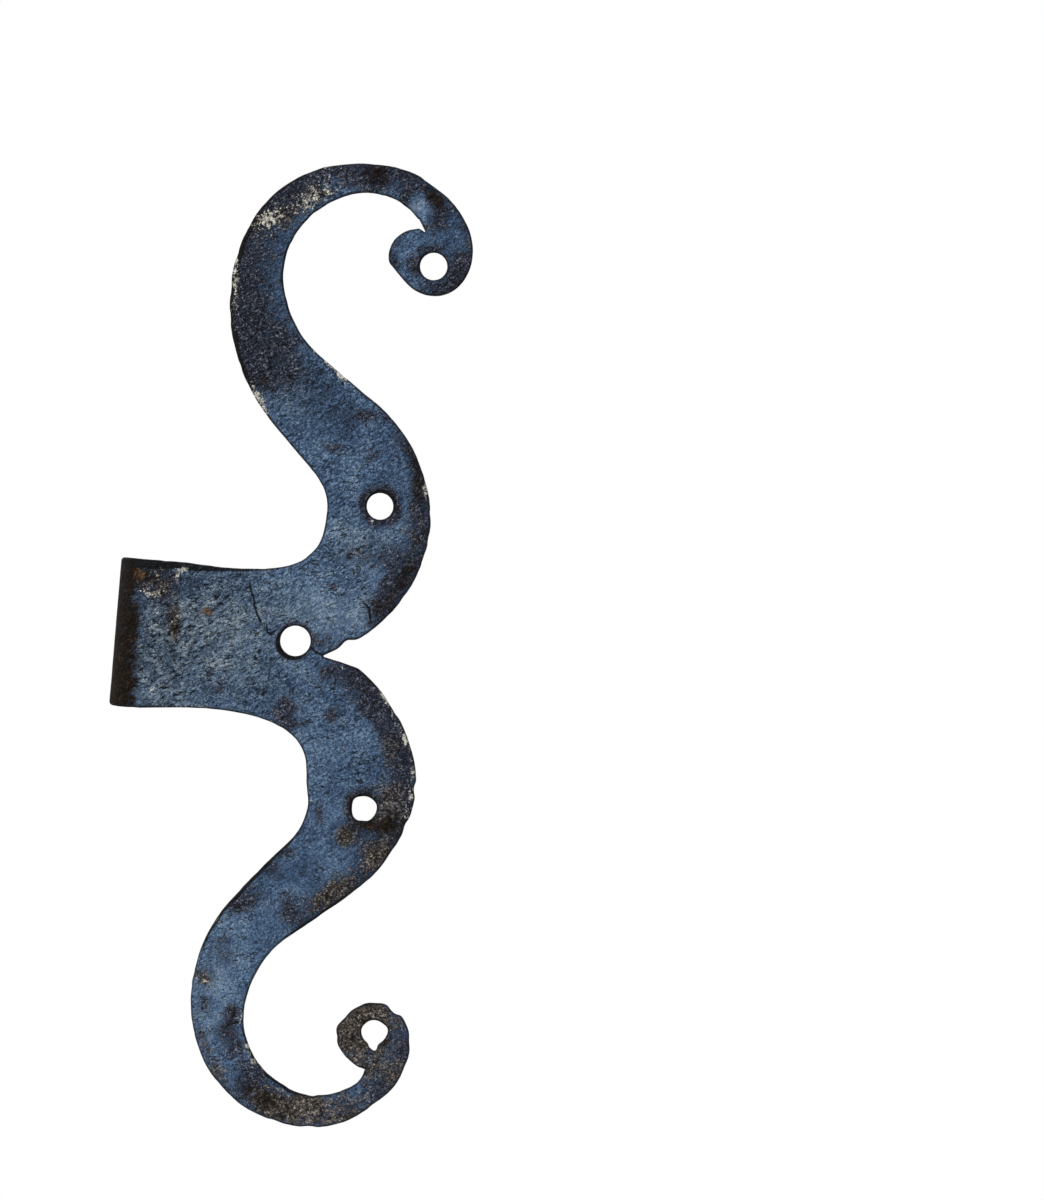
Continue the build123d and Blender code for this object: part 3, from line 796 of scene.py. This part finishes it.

# %% Rust, pits and creases
# Black for pits, creases and cracks, and for painted shadow and shade
BLACK = paint(14, 14, 16)
RUST = paint(102, 76, 52)
rust_share = iron_finish.between(0.48, 0.70, rust * 0.62 + (fleck - 0.5) * 1.3 + 0.1)
colour = iron_finish.mix(rust_share * 0.8, colour, RUST)
pit_share = iron_finish.between(0.62, 0.70, fleck + wrinkled * 0.02 - smooth * 0.05)
colour = iron_finish.mix(pit_share * 0.85, colour, BLACK)
creased = iron_finish.between(0.47, 0.57, cloud + wrinkled * 0.06 - smooth * 0.05)
crease_share = iron_finish.between(0.040, 0.012, valley) * creased
colour = iron_finish.mix(crease_share * 0.85, colour, BLACK)
# Painted shadow: black in the valleys of the folds, and thin black dashes where they are deepest
rumpled = wrinkled * iron_finish.between(0.30, 0.56, cloud)
ragged = fold + (grit - 0.5) * 0.25
dash_share = iron_finish.between(0.37, 0.30, ragged) * (0.8 - smooth * 0.5)
fold_shadow_share = iron_finish.between(0.43, 0.35, ragged) * rumpled + dash_share
colour = iron_finish.mix(fold_shadow_share * 0.85, colour, BLACK)
print("rust, pits and creases laid on:", len(iron_finish.tree.nodes), "nodes")

# %% Cracks, painted shade at the edges and rims, and lime
LIME = paint(202, 199, 187)
line_wide = abs(line_gap + (grit - 0.5) * 0.8)
line_share = iron_finish.between(0.36, 0.18, line_wide) * line_near
colour = iron_finish.mix(line_share * 0.95, colour, BLACK)
# Painted shade: a black line round every edge, broken up by noise
painted_edge_shade_share = iron_finish.between(0.40, 0.85, painted_edge_shade + (grit - 0.5) * 0.8 + (mottle - 0.5) * 0.8)
colour = iron_finish.mix(painted_edge_shade_share * 0.85, colour, BLACK)
# Painted shade from the black field: hole rims, top bevel and shaded edges
painted_shade_share = iron_finish.between(0.35, 0.65, black + (grit - 0.5) * 0.8)
colour = iron_finish.mix(painted_shade_share * 0.95, colour, BLACK)
limed = pale * pale * 0.55 + (cloud - 0.5) * 0.55 + (grit - 0.5)
# Painted glints from the squiggles raise the lime share
limed = limed + (grain - 0.5) * 0.5 + (dust - 0.5) * 0.6 + painted_glint * 0.18
lime_share = iron_finish.between(0.32, 0.72, limed) * iron_finish.between(0.12, 0.4, pale)
colour = iron_finish.mix(lime_share * 0.85, colour, LIME)
iron_finish.put(iron_finish.surface.inputs["Base Color"], colour)
print("cracks, rims and lime laid on:", len(iron_finish.tree.nodes), "nodes")

# %% [markdown]
# ## Relief
#
# Folds and grains of the scale stand a few tenths of a millimetre high. As mesh they would take millions
# of faces, so the larger dents are in the skin and the rest is bump. It reads smooth noises only: the
# finest grain would break up the light and turn the iron black.

# %% Gloss and relief
roughness = 0.5 + grain * 0.2 + brown_share * 0.12 + lime_share * 0.2 - smooth * 0.08
iron_finish.put(iron_finish.surface.inputs["Roughness"], roughness)
SHEEN = 0.06
iron_finish.surface.inputs["Specular IOR Level"].default_value = SHEEN
height = lump * (0.5 - smooth * 0.25 + wrinkled * 0.6) + cloud * (0.4 + wrinkled)
height = height + ripple * (0.3 - smooth * 0.1)
height = height + fold * (rumpled * 2.1 + 0.85 - smooth * 0.6 + dark_share * 0.4) + ridge * 0.06
height = height - pit_share * 0.2 - crease_share * 0.1 - line_share * 0.2
relief = iron_finish.node("ShaderNodeBump", {}, {"Strength": 1.0, "Distance": MM, "Height": height})
iron_finish.put(iron_finish.surface.inputs["Normal"], relief)
mesh.materials.append(iron_finish.owner)
print("forged iron finish:", len(iron_finish.tree.nodes), "nodes")

# %% [markdown]
# ## Floor, light and camera
#
# The strap is shown as it hangs on a door. A long lens keeps its outline true, and the camera leans so
# that the strap does too. The world is white to the lens and in reflections, and lights the strap at a
# plain level. The floor lies below the picture, so it shows only from higher up, with the shadow on it.

# %% Floor
FLOOR_DROP = 0.042
FLOOR_RADIUS = 0.26
RINGS, SPOKES = 4, 96
middle = (cad_low + cad_high) / 2


def floor_disc(share, turn):
    """Flat disc: the middle of the strap, plus a share of the radius in the direction of the turn."""
    x = middle.x + FLOOR_RADIUS * share * np.cos(turn)
    y = middle.y + FLOOR_RADIUS * share * np.sin(turn)
    return np.stack([x, y, np.full(x.shape, cad_low.z - FLOOR_DROP)], axis=-1)


shares, turns = np.linspace(0, 1, RINGS + 1)[1:], np.linspace(0, 2 * np.pi, SPOKES + 1)[:-1]
floor_points = floor_disc(*np.meshgrid(shares, turns, indexing="ij")).reshape(-1, 3)
spot = np.arange(RINGS * SPOKES).reshape(RINGS, SPOKES)
around = np.roll(spot, -1, axis=1)
floor_faces = np.stack([spot[:-1], spot[1:], around[1:], around[:-1]], axis=-1).reshape(-1, 4).tolist()
floor_mesh = bpy.data.meshes.new("floor")
floor_mesh.from_pydata(floor_points.tolist(), [], floor_faces + [spot[0].tolist()])
floor = bpy.data.objects.new("floor", floor_mesh)
bpy.context.scene.collection.objects.link(floor)
floor_finish = Finish(bpy.data.materials.new("floor_paper"))
PAPER = (0.86, 0.86, 0.85, 1)
floor_finish.surface.inputs["Base Color"].default_value = PAPER
floor_finish.surface.inputs["Roughness"].default_value = 0.9
floor_mesh.materials.append(floor_finish.owner)
print("floor", 2 * FLOOR_RADIUS, "m wide,", FLOOR_DROP, "m below the strap")

# %% World
WORLD_LEVEL = 0.28
studio = Finish(bpy.data.worlds.new("studio"), "Background")
bpy.context.scene.world = studio.owner
RAYS = ("Is Camera Ray", "Is Glossy Ray", "Is Transmission Ray")
to_lens, to_gloss, through = (studio.node("ShaderNodeLightPath", {}, {}, ray) for ray in RAYS)
white = studio.sum("MAXIMUM", studio.sum("MAXIMUM", to_lens, to_gloss), through)
studio.put(studio.surface.inputs["Strength"], white * (1 - WORLD_LEVEL) + WORLD_LEVEL)
studio.surface.inputs["Color"].default_value = (1, 1, 1, 1)
print("world lights at", WORLD_LEVEL, "and shows white")

# %% Lamps
# Each lamp: its place and width in metres, and its watts
LAMPS = {
    "key": ((-0.95, -0.75, 0.95), 0.5, 34.6),
    "fill": ((0.9, -1.1, 0.2), 0.9, 2.6),
    "rear": ((0.3, 1.1, 0.8), 0.9, 13.0),
    "side": ((1.5, 0.2, 0.2), 0.6, 8.0),
}
for name, (where, size, power) in LAMPS.items():
    lamp = bpy.data.lights.new(name, "AREA")
    lamp.size, lamp.energy = size, power
    holder = bpy.data.objects.new(name, lamp)
    holder.location = where
    holder.rotation_euler = (middle - holder.location).to_track_quat("-Z", "Y").to_euler()
    bpy.context.scene.collection.objects.link(holder)
print("lamps:", ", ".join(LAMPS))

# %% Camera
# Height of the picture at the strap, the point in its middle, and how far the camera leans
FRAME_TALL = 309.6 * MM
AIM = (95.9 * MM, -eye_outside * MM, 16.8 * MM)
LEAN = np.radians(4.8)
camera = bpy.data.cameras.new("camera")
camera.lens = 600
away = FRAME_TALL * camera.lens / camera.sensor_width
viewer = bpy.data.objects.new("camera", camera)
lean = Matrix.Rotation(np.pi / 2, 4, "X") @ Matrix.Rotation(LEAN, 4, "Z")
viewer.matrix_world = Matrix.Translation((AIM[0], AIM[1] - away, AIM[2])) @ lean
bpy.context.scene.collection.objects.link(viewer)
bpy.context.scene.camera = viewer
bpy.context.scene.view_settings.view_transform = "Standard"
print("camera", round(away, 2), "m away")

# %% [markdown]
# ## The size
#
# The skin must not be larger than the solid that it stands for.

# %% Sizes
bpy.context.view_layer.update()
